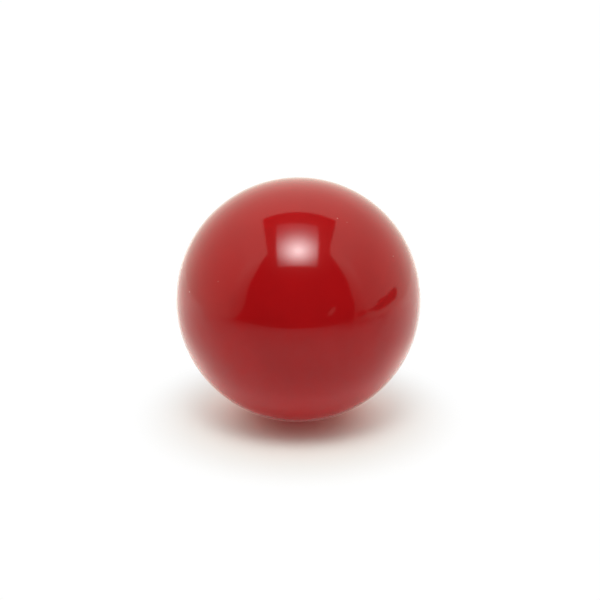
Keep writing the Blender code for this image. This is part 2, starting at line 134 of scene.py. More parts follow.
SLEEVE_BOTTOM = BALL_RADIUS - THUMB_DRILL_DEPTH + GAP
SPRING_MIDDLE = SLEEVE_BOTTOM + SLEEVE_FLOOR + GAP + SPRING_WAVE + SPRING_THICKNESS / 2
SLUG_BOTTOM = SPRING_MIDDLE + SPRING_WAVE + SPRING_THICKNESS / 2 + GAP
RING_BOTTOM = SLUG_BOTTOM + INDEX_RING_LEVEL + GAP
RING_TOP = RING_BOTTOM + INDEX_RING_HEIGHT
LOCK_HEIGHT = RING_TOP + GAP + LOCK_PIN_LEVEL + LOCK_PIN_DIAMETER / 2
O_RING_HEIGHT = BALL_RADIUS - O_RING_DEPTH

SLEEVE_RADIUS = SLEEVE_DIAMETER / 2
SLEEVE_INNER = SLEEVE_RADIUS - SLEEVE_WALL
SLUG_RADIUS = SLEEVE_INNER - SLUG_CLEARANCE
LOCK_RADIUS = SLUG_RADIUS + LOCK_PIN_REACH
SLOT_RADIUS = LOCK_RADIUS + GAP
RING_INNER = SLUG_RADIUS - INDEX_RING_WIDTH
O_RING_RADIUS = SLUG_RADIUS + O_RING_SQUEEZE - O_RING_SECTION / 2

# The tapes' rounded corners.
TAPE_CORNER = 0.003
TAPE_CORNER_START = 0.6  # the share of the tape's half width where its corners start to round

# How finely the shown surfaces are divided.
BALL_SIDES = 256
CAVITY_SIDES = 64
BORE_SIDES = 96
SMALL_SIDES = 48
ARC_POINTS = 9
TAPE_STEPS = 32
SPRING_EDGE_POINTS = 5
MERGE = 0.00001
SHARP_ANGLE = math.radians(30)
SKIN_ANGLE = math.radians(10)  # how far a face of the ball's outer skin may lean from the true sphere
ON_BALL = 0.00001  # how near the ball's surface a point counts as on it

AXIS_POINT = "axis_point"  # the attribute that keeps each point's place on its piece's own axis


# ---------------------------------------------------------------- axes

def grip_matrix():
    """The grip's own frame, level round the ball's back."""
    return Matrix.Rotation(math.radians(GRIP_TURN), 4, "Z") @ Matrix.Rotation(math.radians(90.0), 4, "Y")


def axis_matrix(tilt, side=0.0, shift=0.0):
    """A frame whose Z axis points out of the ball, tilted from the grip's +Y towards its +Z."""
    lean = Matrix.Rotation(math.radians(tilt - 90.0), 4, "X")
    turn = Matrix.Rotation(math.radians(side), 4, "Y")
    return grip_matrix() @ Matrix.Translation((shift, 0.0, 0.0)) @ lean @ turn


AXES = {
    "ball": Matrix.Identity(4),
    "thumb": axis_matrix(THUMB_TILT),
    "middle": axis_matrix(FINGER_TILT, -FINGER_SPLAY, -FINGER_PITCH),
    "middle_mouth": axis_matrix(FINGER_TILT, -FINGER_SIDE),
    "ring": axis_matrix(FINGER_TILT, FINGER_SPLAY, FINGER_PITCH),
    "ring_mouth": axis_matrix(FINGER_TILT, FINGER_SIDE),
    "pin": axis_matrix(PIN_TILT),
    "dot": axis_matrix(DOT_TILT),
}


# ---------------------------------------------------------------- shapes

def linked(name, mesh):
    """An object in the scene with that mesh."""
    obj = bpy.data.objects.new(name, mesh)
    bpy.context.scene.collection.objects.link(obj)
    return obj


def applied(obj):
    """The object with its modifiers applied to its mesh."""
    bpy.context.view_layer.update()
    graph = bpy.context.evaluated_depsgraph_get()
    mesh = bpy.data.meshes.new_from_object(obj.evaluated_get(graph))
    obj.modifiers.clear()
    obj.data = mesh
    return obj


def turned(name, profile, sides, loop=False):
    """A body turned about Z from (radius, height) points that run down its outer side."""
    edges = [(i, i + 1) for i in range(len(profile) - 1)]
    if loop:
        edges.append((len(profile) - 1, 0))
    mesh = bpy.data.meshes.new(name)
    mesh.from_pydata([(radius, 0.0, height) for radius, height in profile], edges, [])
    obj = linked(name, mesh)
    screw = obj.modifiers.new("turn", "SCREW")
    screw.steps = sides
    screw.render_steps = sides
    screw.use_merge_vertices = True
    screw.merge_threshold = MERGE
    return applied(obj)


def box(name, low, high):
    """A box between two corners."""
    mesh = bpy.data.meshes.new(name)
    form = bmesh.new()
    bmesh.ops.create_cube(form, size=1.0)
    for vertex in form.verts:
        for k in range(3):
            vertex.co[k] = low[k] + (vertex.co[k] + 0.5) * (high[k] - low[k])
    form.to_mesh(mesh)
    form.free()
    return linked(name, mesh)


def laid(obj, axis):
    """The object's mesh laid along one of the ball's axes."""
    obj.data.transform(AXES[axis])
    return obj


def combined(obj, operation, *others):
    """The object joined with other solids, or cut by them. The others are used up."""
    for other in others:
        boolean = obj.modifiers.new(other.name, "BOOLEAN")
        boolean.operation = operation
        boolean.solver = "EXACT"
        boolean.object = other
    applied(obj)
    for other in others:
        bpy.data.objects.remove(other)
    return obj


def arc(centre, radius, start, end, count=ARC_POINTS):
    """Points on a circle's arc from one angle to another, in degrees, both ends included."""
    turns = [math.radians(start + (end - start) * i / (count - 1)) for i in range(count)]
    return [(centre[0] + radius * math.cos(t), centre[1] + radius * math.sin(t)) for t in turns]


def surface_height(radius):
    """How high the ball's surface is, along any axis through its centre, at that distance from the axis."""
    return math.sqrt(BALL_RADIUS**2 - radius**2)


def surface_run(inner, outer, count=ARC_POINTS):
    """Points on the ball's surface between two distances from an axis, from the inner one to the outer."""
    radii = [inner + (outer - inner) * i / (count - 1) for i in range(count)]
    return [(radius, surface_height(radius)) for radius in radii]


def lip(bore_radius, lip_radius):
    """A rounded edge where a bore meets the ball's surface, from the bore's wall outwards."""
    height = surface_height(bore_radius + lip_radius) - lip_radius
    return arc((bore_radius + lip_radius, height), lip_radius, 180.0, 90.0)


def ball_profile(radius, sides, flat_height=None):
    """A half circle from top to bottom, ending in a small flat where one is given."""
    rings = sides // 2
    turns = [math.pi * k / rings for k in range(rings)]
    points = [(radius * math.sin(t), radius * math.cos(t)) for t in turns]
    if flat_height is None:
        return [*points, (0.0, -radius)]
    points = [point for point in points if point[1] > flat_height + ON_BALL]
    return [*points, (math.sqrt(radius**2 - flat_height**2), flat_height), (0.0, flat_height)]


def drill(name, diameter, end, sides, axis, point=0.0):
    """A cutter for a piece's hole, down to a height above the ball's centre, then to a drill point."""
    radius = diameter / 2 + GAP
    top = BALL_RADIUS + OVERCUT
    profile = [(0.0, top), (radius, top), (radius, end), (0.0, end - point)]
    return laid(turned(name, profile, sides), axis)


def settled(obj, axis):
    """The finished piece: edges sharp, outer skin truly round, and each point's place on its axis kept."""
    mesh = obj.data
    mesh.shade_smooth()
    mesh.set_sharp_from_angle(angle=SHARP_ANGLE)
    back = AXES[axis].inverted()
    kept = mesh.attributes.new(AXIS_POINT, "FLOAT_VECTOR", "POINT")
    for vertex in mesh.vertices:
        kept.data[vertex.index].vector = back @ vertex.co
    normals = [Vector((0.0, 0.0, 0.0))] * len(mesh.loops)
    for face in mesh.polygons:
        for index in face.loop_indices:
            point = mesh.vertices[mesh.loops[index].vertex_index].co
            outward = point.normalized()
            on_ball = abs(point.length - BALL_RADIUS) < ON_BALL
            if on_ball and outward.dot(face.normal) > math.cos(SKIN_ANGLE):
                normals[index] = outward
    mesh.normals_split_custom_set(normals)
    return obj


# ---------------------------------------------------------------- pieces

def make_cover():
    """The coverstock: a polished shell with its drilled holes."""
    cover = turned("polished_cover", ball_profile(BALL_RADIUS, BALL_SIDES, FLOOR_HEIGHT), BALL_SIDES)
    cavity_radius = BALL_RADIUS - COVER_THICKNESS
    finger_end = FINGER_MOUTH - FINGER_DRILL_DEPTH
    cutters = [
        turned("cut_cavity", ball_profile(cavity_radius, CAVITY_SIDES), CAVITY_SIDES),
        drill("cut_thumb", SLEEVE_DIAMETER, BALL_RADIUS - THUMB_DRILL_DEPTH, BORE_SIDES, "thumb"),
        drill("cut_middle", INSERT_DIAMETER, finger_end, BORE_SIDES, "middle", DRILL_POINT_DEPTH),
        drill("cut_ring", INSERT_DIAMETER, finger_end, BORE_SIDES, "ring", DRILL_POINT_DEPTH),
        drill("cut_pin", PIN_DIAMETER, BALL_RADIUS - BLOCK_COVERING, SMALL_SIDES, "pin"),
        drill("cut_dot", DOT_DIAMETER, BALL_RADIUS - DOT_THICKNESS - GAP, SMALL_SIDES, "dot"),
    ]
    return settled(combined(cover, "DIFFERENCE", *cutters), "ball")


def make_marker(name, diameter, foot, axis):
    """A round plug set flush in the ball's surface."""
    radius = diameter / 2
    profile = [*surface_run(0.0, radius), (radius, foot), (0.0, foot)]
    return settled(laid(turned(name, profile, SMALL_SIDES), axis), axis)


def make_insert(finger):
    """A finger's moulded insert, sanded flush with the ball and rounded at its mouth."""
    outer = INSERT_DIAMETER / 2
    inner = INSERT_BORE / 2
    top = FINGER_MOUTH + OVERCUT / 2
    foot = FINGER_MOUTH - INSERT_LENGTH
    outside = [(outer, top), (outer, foot + INSERT_CHAMFER), (outer - INSERT_CHAMFER, foot)]
    profile = [*outside, (inner, foot), (inner, top)]
    insert = laid(turned(f"{finger}_insert", profile, BORE_SIDES, loop=True), finger)
    mouth_start = inner - MOUTH_SLACK
    mouth = lip(mouth_start, INSERT_LIP)[::-1]
    above = BALL_RADIUS + OVERCUT
    mouth_profile = [(0.0, above), (mouth_start + INSERT_LIP, above), *mouth, (0.0, mouth[-1][1])]
    cutter = laid(turned("cut_mouth", mouth_profile, BORE_SIDES), f"{finger}_mouth")
    whole = turned("whole_ball", ball_profile(BALL_RADIUS, BALL_SIDES), BALL_SIDES)
    combined(insert, "INTERSECT", whole)
    return settled(combined(insert, "DIFFERENCE", cutter), finger)


def lock_groove(start, half_height):
    """A cutter for the groove that a lock pin turns through, from its entry slot."""
    end_room = math.degrees(half_height / SLUG_RADIUS)
    near = SLEEVE_INNER - SLEEVE_WALL / 2
    low = LOCK_HEIGHT - half_height
    high = LOCK_HEIGHT + half_height
    mesh = bpy.data.meshes.new("cut_lock_groove")
    form = bmesh.new()
    section = [(near, low), (SLOT_RADIUS, low), (SLOT_RADIUS, high), (near, high)]
    face = form.faces.new([form.verts.new((radius, 0.0, height)) for radius, height in section])
    bmesh.ops.spin(
        form,
        geom=[face, *face.edges, *face.verts],
        cent=(0.0, 0.0, 0.0),
        axis=(0.0, 0.0, 1.0),
        angle=-math.radians(LOCK_TURN + end_room),
        steps=SMALL_SIDES // 2,
        use_duplicate=False,
    )
    bmesh.ops.rotate(form, verts=form.verts, matrix=Matrix.Rotation(math.radians(start), 3, "Z"))
    bmesh.ops.recalc_face_normals(form, faces=form.faces)
    form.to_mesh(mesh)
    form.free()
    return linked("cut_lock_groove", mesh)


def make_sleeve():
    """The cup glued into the thumb hole, with its entry slots and lock grooves."""
    vent = SLEEVE_VENT_DIAMETER / 2
    floor_top = SLEEVE_BOTTOM + SLEEVE_FLOOR
    profile = [
        *surface_run(SLEEVE_INNER, SLEEVE_RADIUS),
        (SLEEVE_RADIUS, SLEEVE_BOTTOM),
        (vent, SLEEVE_BOTTOM),
        (vent, floor_top),
        (SLEEVE_INNER, floor_top),
    ]
    sleeve = turned("outer_sleeve", profile, BORE_SIDES, loop=True)
    half_width = LOCK_PIN_DIAMETER / 2 + GAP
    slots = box(
        "cut_slots",
        (-SLOT_RADIUS, -half_width, RING_BOTTOM - GAP),
        (SLOT_RADIUS, half_width, BALL_RADIUS + OVERCUT),
    )
    grooves = [lock_groove(start, half_width) for start in (0.0, 180.0)]
    return settled(laid(combined(sleeve, "DIFFERENCE", slots, *grooves), "thumb"), "thumb")


def make_spring():
    """The wave spring under the slug, with rounded edges."""
    inner = SPRING_INNER_DIAMETER / 2
    outer = SPRING_OUTER_DIAMETER / 2
    half = SPRING_THICKNESS / 2
    outside = arc((outer - half, SPRING_MIDDLE), half, 90.0, -90.0, SPRING_EDGE_POINTS)
    inside = arc((inner + half, SPRING_MIDDLE), half, 270.0, 90.0, SPRING_EDGE_POINTS)
    spring = turned("wave_spring", [*outside, *inside], BORE_SIDES, loop=True)
    for vertex in spring.data.vertices:
        turn = math.atan2(vertex.co.y, vertex.co.x)
        vertex.co.z += SPRING_WAVE * math.cos(SPRING_WAVES * turn)
    return settled(laid(spring, "thumb"), "thumb")


def make_index_ring():
    """The split nylon ring and its two keys."""
    outside = [(SLUG_RADIUS, RING_TOP), (SLUG_RADIUS, RING_BOTTOM)]
    profile = [*outside, (RING_INNER, RING_BOTTOM), (RING_INNER, RING_TOP)]
    ring = turned("index_ring", profile, BORE_SIDES, loop=True)
    half_width = LOCK_PIN_DIAMETER / 2
    root = SLUG_RADIUS - INDEX_RING_WIDTH / 2
    keys = []
    for side in (1, -1):
        near, far = sorted((side * root, side * LOCK_RADIUS))
        keys.append(box("key", (near, -half_width, RING_BOTTOM), (far, half_width, RING_TOP)))
    combined(ring, "UNION", *keys)
    half_split = INDEX_RING_SPLIT / 2
    split = box(
        "cut_split",
        (-half_split, 0.0, RING_BOTTOM - OVERCUT),
        (half_split, SLEEVE_RADIUS, RING_TOP + OVERCUT),
    )
    return settled(laid(combined(ring, "DIFFERENCE", split), "thumb"), "thumb")


def lock_pin(name, side, grow=0.0):
    """A dowel across the slug's side, with chamfered ends, or the cutter for its hole."""
    radius = LOCK_PIN_DIAMETER / 2 + grow
    half = LOCK_PIN_LENGTH / 2 + grow
    edge = 0.0 if grow else LOCK_PIN_DIAMETER / 10
    ends = [(radius - edge, half), (radius, half - edge)] if edge else [(radius, half)]
    profile = [(0.0, half), *ends, *[(r, -h) for r, h in reversed(ends)], (0.0, -half)]
    pin = turned(name, profile, SMALL_SIDES)
    middle = Matrix.Translation((side * (LOCK_RADIUS - LOCK_PIN_LENGTH / 2), 0.0, LOCK_HEIGHT))
    pin.data.transform(middle @ Matrix.Rotation(math.radians(90.0), 4, "Y"))
    return pin


def make_slug():
    """The removable slug, with its oval bore."""
    neck = RING_INNER - GAP
    seal = O_RING_RADIUS - O_RING_SECTION / 2 - GAP
    seal_half = O_RING_SECTION / 2 + GAP
    profile = [
        *surface_run(0.0, SLUG_RADIUS),
        (SLUG_RADIUS, O_RING_HEIGHT + seal_half),
        (seal, O_RING_HEIGHT + seal_half),
        (seal, O_RING_HEIGHT - seal_half),
        (SLUG_RADIUS, O_RING_HEIGHT - seal_half),
        (SLUG_RADIUS, RING_TOP + GAP),
        (neck, RING_TOP + GAP),
        (neck, RING_BOTTOM - GAP),
        (SLUG_RADIUS, RING_BOTTOM - GAP),
        (SLUG_RADIUS, SLUG_BOTTOM + SLUG_CHAMFER),
        (SLUG_RADIUS - SLUG_CHAMFER, SLUG_BOTTOM),
        (0.0, SLUG_BOTTOM),
    ]
    slug = turned("thumb_plug_slug", profile, BORE_SIDES)
    bore = THUMB_BORE / 2
    bore_floor = BALL_RADIUS - THUMB_BORE_DEPTH
    top = BALL_RADIUS + OVERCUT
    mouth = lip(bore, THUMB_LIP)[::-1]
    floor_centre = (bore - THUMB_FLOOR_ROUND, bore_floor + THUMB_FLOOR_ROUND)
    round_floor = arc(floor_centre, THUMB_FLOOR_ROUND, 0.0, -90.0)
    bore_profile = [(0.0, top), (bore + THUMB_LIP, top), *mouth, *round_floor, (0.0, bore_floor)]
    thumb_bore = turned("cut_thumb_bore", bore_profile, BORE_SIDES)
    thumb_bore.data.transform(Matrix.Diagonal((1.0, THUMB_OVAL, 1.0, 1.0)))
    holes = [lock_pin("cut_lock_pin", side, GAP) for side in (-1, 1)]
    return settled(laid(combined(slug, "DIFFERENCE", thumb_bore, *holes), "thumb"), "thumb")


def make_o_ring():
    """The rubber ring round the slug."""
    section = O_RING_SECTION / 2
    profile = arc((O_RING_RADIUS, O_RING_HEIGHT), section, 90.0, -270.0, 2 * ARC_POINTS - 1)[:-1]
    return settled(laid(turned("o_ring", profile, BORE_SIDES, loop=True), "thumb"), "thumb")


def make_tape(name, middle):
    """A strip of grip tape on the thumb bore's wall, with rounded corners."""
    outer = THUMB_BORE / 2 - GAP
    inner = outer - TAPE_THICKNESS
    lengthen = THUMB_BORE / 2 * (THUMB_OVAL - 1.0)
    top = BALL_RADIUS - TAPE_DEPTH
    form = bmesh.new()
    grid = []
    for i in range(TAPE_STEPS + 1):
        share = 2.0 * i / TAPE_STEPS - 1.0
        turn = math.radians(middle + TAPE_SPREAD * share / 2)
        out = max(0.0, (abs(share) - TAPE_CORNER_START) / (1.0 - TAPE_CORNER_START))
        corner = TAPE_CORNER * (1.0 - math.sqrt(max(0.0, 1.0 - out**2)))
        row = []
        for radius in (outer, inner):
            for height in (top - corner, top - TAPE_LENGTH + corner):
                place = (radius * math.cos(turn), (radius + lengthen) * math.sin(turn), height)
                row.append(form.verts.new(place))
        grid.append(row)
    for a, b in zip(grid, grid[1:]):
        for p, q in ((0, 1), (1, 3), (3, 2), (2, 0)):
            form.faces.new([a[p], a[q], b[q], b[p]])
    for row in (grid[0], grid[-1]):
        form.faces.new([row[0], row[1], row[3], row[2]])
    bmesh.ops.recalc_face_normals(form, faces=form.faces)
    mesh = bpy.data.meshes.new(name)
    form.to_mesh(mesh)
    form.free()
    return settled(laid(linked(name, mesh), "thumb"), "thumb")


# ---------------------------------------------------------------- materials

class Finish:
    """A material under construction, with short ways to add and link nodes."""

    def __init__(self, name, colour, roughness, **constants):
        self.material = bpy.data.materials.new(name)
        self.material.use_nodes = True
        self.material.diffuse_color = (*colour, 1.0)
        self.tree = self.material.node_tree
        self.shader = self.tree.nodes["Principled BSDF"]
        self.shader.inputs["Base Color"].default_value = (*colour, 1.0)
        self.shader.inputs["Roughness"].default_value = roughness
        for socket, value in constants.items():
            self.shader.inputs[socket.replace("_", " ")].default_value = value
        self.colour = colour
        where = self.node("ShaderNodeAttribute")
        where.attribute_name = AXIS_POINT
        self.place = where.outputs["Vector"]

    def node(self, kind, **links):
        """A new node whose inputs are set to values or linked from sockets."""
        made = self.tree.nodes.new(kind)
        for name, value in links.items():
            socket = made.inputs[int(name[1:]) if name[1:].isdigit() else name.replace("_", " ")]
            if isinstance(value, bpy.types.NodeSocket):
                self.tree.links.new(value, socket)
            else:
                socket.default_value = value
        return made

    def noise(self, scale, detail=3.0, roughness=0.5, place=None):
        """A noise value from 0 to 1, with that many bumps to the metre."""
        made = self.node(
            "ShaderNodeTexNoise", Vector=place or self.place, Scale=scale, Detail=detail, Roughness=roughness
        )
        return made.outputs["Fac"]

    def math(self, operation, *values):
        """The result of a sum on values and sockets."""
        made = self.node("ShaderNodeMath", **{f"_{i}": value for i, value in enumerate(values)})
        made.operation = operation
        return made.outputs[0]

    def ranged(self, value, low, high, out_low, out_high):
        """The value's range stretched onto another, and held inside it."""
        made = self.node("ShaderNodeMapRange", _0=value, _1=low, _2=high, _3=out_low, _4=out_high)
        return made.outputs[0]

    def scaled(self, x, y, z):
        """The piece's own coordinates, stretched along each axis."""
        made = self.node("ShaderNodeVectorMath", _0=self.place, _1=(x, y, z))
        made.operation = "MULTIPLY"
        return made.outputs[0]

    def mixed(self, share, first, second):
        """A colour between two."""
        made = self.node("ShaderNodeMix", Factor=share)
        made.data_type = "RGBA"
        for socket, value in ((made.inputs[6], first), (made.inputs[7], second)):
            if isinstance(value, bpy.types.NodeSocket):
                self.tree.links.new(value, socket)
            else:
                socket.default_value = (*value, 1.0)
        return made.outputs[2]

    def paint(self, colour):
        """Links the colour of the surface."""
        self.tree.links.new(colour, self.shader.inputs["Base Color"])

    def rough(self, value):
        """Links the roughness of the surface."""
        self.tree.links.new(value, self.shader.inputs["Roughness"])

    def bump(self, height, distance):
        """Relief of that many metres."""
        made = self.node("ShaderNodeBump", Height=height, Distance=distance)
        self.tree.links.new(made.outputs["Normal"], self.shader.inputs["Normal"])


def shade(colour, factor):
    """The colour made darker or lighter."""
    return tuple(min(1.0, part * factor) for part in colour)


RED = (0.39, 0.0050, 0.0065)
DUST = (0.62, 0.36, 0.32)
DUST_FILM = {"Sheen_Weight": 0.4, "Sheen_Roughness": 0.2, "Sheen_Tint": (1.0, 0.92, 0.88, 1.0)}
SPECKS_TO_THE_METRE = 46.0
SPECKS_LEFT_OUT = 0.2  # the share of the specks that is dropped, so that they lie unevenly


def polished_polyester():
    """Deep red cast polyester, buffed to a gloss, with a few pale specks of dust pressed into it."""
    made = Finish("red_polyester_gloss", RED, 0.09, IOR=1.5, **DUST_FILM)
    cloud = made.noise(22.0, 4.0)
    colour = made.mixed(made.ranged(cloud, 0.35, 0.65, 0.0, 1.0), shade(RED, 0.95), shade(RED, 1.05))
    cells = made.node("ShaderNodeTexVoronoi", Vector=made.place, Scale=SPECKS_TO_THE_METRE, Randomness=1.0)
    near = made.ranged(cells.outputs["Distance"], 0.016, 0.032, 1.0, 0.0)
    split = made.node("ShaderNodeSeparateColor", Color=cells.outputs["Color"])
    chosen = made.math("GREATER_THAN", split.outputs[0], SPECKS_LEFT_OUT)
    speck = made.math("MULTIPLY", near, chosen)
    made.paint(made.mixed(made.math("MULTIPLY", speck, 0.6), colour, DUST))
    haze = made.ranged(made.noise(60.0, 5.0, 0.65), 0.35, 0.75, 0.075, 0.105)
    made.rough(made.math("MAXIMUM", haze, made.math("MULTIPLY", speck, 0.5)))
    made.bump(made.noise(9.0, 1.0), 0.00004)
    return made.material


def cast_filler(name, colour, grain):
    """A rough cast body with mineral grains in it."""
    made = Finish(name, colour, 0.8)
    cells = made.node("ShaderNodeTexVoronoi", Vector=made.place, Scale=grain, Randomness=1.0)
    fleck = made.ranged(cells.outputs["Distance"], 0.1, 0.3, 1.0, 0.0)
    dust = made.noise(grain / 4, 6.0, 0.7)
    base = made.mixed(dust, shade(colour, 0.7), shade(colour, 1.35))
    made.paint(made.mixed(made.math("MULTIPLY", fleck, 0.45), base, shade(colour, 2.2)))
    made.rough(made.ranged(dust, 0.3, 0.7, 0.65, 0.9))
    made.bump(made.math("ADD", dust, made.math("MULTIPLY", fleck, -0.4)), 0.0003)
    return made.material


def moulded(name, colour, roughness, texture=900.0, relief=0.00004, **constants):
    """A moulded plastic or rubber with a fine matt texture and slight wear."""
    made = Finish(name, colour, roughness, **constants)
    wear = made.noise(120.0, 5.0, 0.6)
    made.paint(made.mixed(made.ranged(wear, 0.3, 0.7, 0.0, 1.0), shade(colour, 0.8), shade(colour, 1.3)))
    made.rough(made.ranged(wear, 0.3, 0.7, roughness - 0.08, roughness + 0.08))
    made.bump(made.noise(texture, 3.0, 0.6), relief)
    return made.material


def lathed(name, colour, roughness, pitch, relief, **constants):
    """A material with the fine rings that a lathe leaves along the piece's axis."""
    made = Finish(name, colour, roughness, **constants)
    rings = made.noise(1.0, 2.0, 0.5, made.scaled(40.0, 40.0, 1.0 / pitch))
    wear = made.noise(150.0, 4.0, 0.6)
    made.paint(made.mixed(made.ranged(wear, 0.3, 0.7, 0.0, 1.0), shade(colour, 0.85), shade(colour, 1.2)))
    made.rough(made.ranged(rings, 0.3, 0.7, roughness - 0.07, roughness + 0.07))
    made.bump(rings, relief)
    return made.material


def woven_tape(name, colour, roughness, pitch, relief):
    """Grip tape with a plain weave pressed into it."""
    made = Finish(name, colour, roughness)
    around = made.node("ShaderNodeSeparateXYZ", Vector=made.place)
    turn = 2.0 * math.pi / pitch
    across = made.math("SINE", made.math("MULTIPLY", around.outputs[0], turn))
    along = made.math("SINE", made.math("MULTIPLY", around.outputs[2], turn))
    weave = made.math("MULTIPLY", across, along)
    fuzz = made.noise(1500.0, 3.0, 0.6)
    height = made.math("ADD", weave, made.math("MULTIPLY", fuzz, 0.6))
    made.paint(made.mixed(made.ranged(height, -1.0, 1.6, 0.0, 1.0), shade(colour, 0.6), shade(colour, 1.15)))
    made.rough(made.ranged(fuzz, 0.3, 0.7, roughness - 0.1, roughness + 0.1))
    made.bump(height, relief)
    return made.material


BLACK = (0.015, 0.015, 0.016)
CHARCOAL = (0.035, 0.035, 0.038)
IVORY = (0.72, 0.68, 0.58)
NYLON = (0.70, 0.70, 0.66)
STEEL = (0.56, 0.57, 0.58)

FINISHES = {
    "red_polyester": polished_polyester(),
    "core_filler": cast_filler("cast_filler_grey", (0.30, 0.30, 0.28), 700.0),
    "weight_block": cast_filler("cast_block_brown", (0.16, 0.12, 0.09), 500.0),
    "marker_white": moulded("marker_ivory", IVORY, 0.22, 300.0, 0.00001, Subsurface_Weight=0.1),
    "finger_insert": moulded("insert_vinyl", CHARCOAL, 0.48, 1100.0, 0.00006),
    "thumb_sleeve": lathed("sleeve_plastic", CHARCOAL, 0.34, 0.0005, 0.00002),
    "spring_steel": lathed("spring_steel_strip", STEEL, 0.3, 0.0002, 0.00001, Metallic=1.0),
    "index_nylon": moulded("index_ring_nylon", NYLON, 0.45, 500.0, 0.00002, Subsurface_Weight=0.2),
    "thumb_slug": lathed("slug_urethane", BLACK, 0.3, 0.0006, 0.000025),
    "lock_pin_steel": lathed("dowel_steel", STEEL, 0.24, 0.0003, 0.00001, Metallic=1.0),
    "o_ring_rubber": moulded("ring_rubber", BLACK, 0.6, 1500.0, 0.00003),
    "front_tape": moulded("tape_smooth", BLACK, 0.42, 2000.0, 0.00003),
    "back_tape": woven_tape("tape_woven", (0.62, 0.61, 0.57), 0.75, 0.0009, 0.00008),
}


def place(piece, body, slot, node):
    """The piece put in for its CAD node, with its body, slot and finish."""
    piece.data.materials.clear()
    piece.data.materials.append(FINISHES[slot])
    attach(piece, body)
    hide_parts(node)


def refinish(node, slot):
    """A CAD node that stays, with a better material."""
    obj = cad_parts[node]
    kept = obj.data.attributes.new(AXIS_POINT, "FLOAT_VECTOR", "POINT")
    for vertex in obj.data.vertices:
        kept.data[vertex.index].vector = vertex.co
    obj.data.materials.clear()
    obj.data.materials.append(FINISHES[slot])


def dress_ball():
    """Every piece of the ball, each in place of its CAD node."""
    place(make_cover(), "ball", "red_polyester", "coverstock")
    refinish("core_filler", "core_filler")
    refinish("weight_block", "weight_block")
    pin_foot = BALL_RADIUS - BLOCK_COVERING + GAP
    place(make_marker("pin_plug", PIN_DIAMETER, pin_foot, "pin"), "ball", "marker_white", "locator_pin")
    dot = make_marker("gravity_dot", DOT_DIAMETER, BALL_RADIUS - DOT_THICKNESS, "dot")
    place(dot, "ball", "marker_white", "centre_of_gravity_dot")
    for finger in ("middle", "ring"):
        place(make_insert(finger), "ball", "finger_insert", f"{finger}_finger_insert")
    place(make_sleeve(), "ball", "thumb_sleeve", "thumb_outer_sleeve")
    place(make_spring(), "ball", "spring_steel", "thumb_wave_spring")
    place(make_index_ring(), "thumb_carrier", "index_nylon", "thumb_index_ring")
    place(make_slug(), "thumb_plug", "thumb_slug", "thumb_slug")
    for side, name in ((-1, "left"), (1, "right")):
        pin = settled(laid(lock_pin(f"dowel_{name}", side), "thumb"), "thumb")
        place(pin, "thumb_plug", "lock_pin_steel", f"lock_pin_{name}")
    place(make_o_ring(), "thumb_plug", "o_ring_rubber", "thumb_o_ring")
    place(make_tape("tape_front", 90.0), "thumb_plug", "front_tape", "thumb_tape_front")
    place(make_tape("tape_back", -90.0), "thumb_plug", "back_tape", "thumb_tape_back")


# ---------------------------------------------------------------- studio

ROOF = 1.0  # height of the light tent's roof over the ball's centre
HALF_WIDTH = 1.0
BACK = 1.0
FRONT = -0.5
TABLE_DROP = 0.0002  # of the table that reflections see, under the floor that the camera sees
ROOM_SIZE = 8.0  # from the ball's centre to each of the room's walls
SWEEP_BACK = 3.0
FLOOR_REACH = 12.0
ROOM_GLOW = 0.012

# Outlines of the tent's open front, from the roof down to the table, as (across, height).
LEFT_FLAP = [(-0.52, 1.0), (-0.545, 0.92), (-0.54, 0.70), (-0.53, 0.57), (-0.547, 0.45), (-0.565, 0.34),
             (-0.55, 0.22), (-0.54, 0.15), (-0.56, 0.09), (-0.60, 0.04), (-0.68, -0.02), (-0.76, -0.06)]
RIGHT_FLAP = [(0.545, 1.0), (0.557, 0.80), (0.56, 0.67), (0.578, 0.55), (0.592, 0.42), (0.58, 0.32),
              (0.578, 0.22), (0.60, 0.15), (0.59, 0.09), (0.57, 0.04), (0.545, -0.02), (0.50, -0.06)]
# The slot in the roof, as (across, along), down its left edge and its right edge from back to front.
SLOT_LEFT = [(-0.455, 0.25), (-0.470, -0.10), (-0.490, -0.30), (-0.52, -0.50)]
SLOT_RIGHT = [(0.485, 0.235), (0.490, -0.10), (0.490, -0.31), (0.545, -0.50)]
# The front edge of the white sweep that lies on the table.
SWEEP_FRONT = [(-3.0, 0.1), (-1.25, -0.76), (-0.95, -0.93), (-0.69, -1.02), (0.0, -1.10), (0.61, -1.25),
               (1.3, -1.55), (1.7, -1.85), (3.0, -2.7)]
# A dark gap under the right side's cloth, as (along, height), and its end on the flap, as (across, height).
HEM_GAP = [(0.158, 0.079), (0.062, 0.091), (-0.009, 0.085), (-0.076, 0.075), (-0.144, 0.083),
           (-0.220, 0.093), (-0.270, 0.078), (-0.289, 0.051), (-0.336, 0.039), (-0.393, 0.029),
           (-0.492, 0.027), (-0.497, 0.003), (-0.411, -0.015), (-0.318, -0.036), (-0.245, -0.043),
           (-0.159, -0.044), (-0.068, -0.037), (0.017, -0.031), (0.108, -0.031), (0.162, -0.008),
           (0.189, 0.022), (0.188, 0.056)]
HEM_GAP_END = [(0.571, -0.003), (0.701, -0.031), (0.817, -0.019), (0.927, 0.005),
               (0.817, 0.045), (0.718, 0.044), (0.611, 0.034)]
HEM_GAP_GLOW = 0.1
HEM_GAP_INSET = 0.01  # how far it hangs inside the cloth
# A small white card in the tent's open front, as (across, height).
CARD = [(0.226, 0.060), (0.235, 0.047), (0.264, 0.060), (0.298, 0.086),
        (0.307, 0.111), (0.281, 0.117), (0.258, 0.093), (0.237, 0.079)]
CARD_GLOW = 0.42
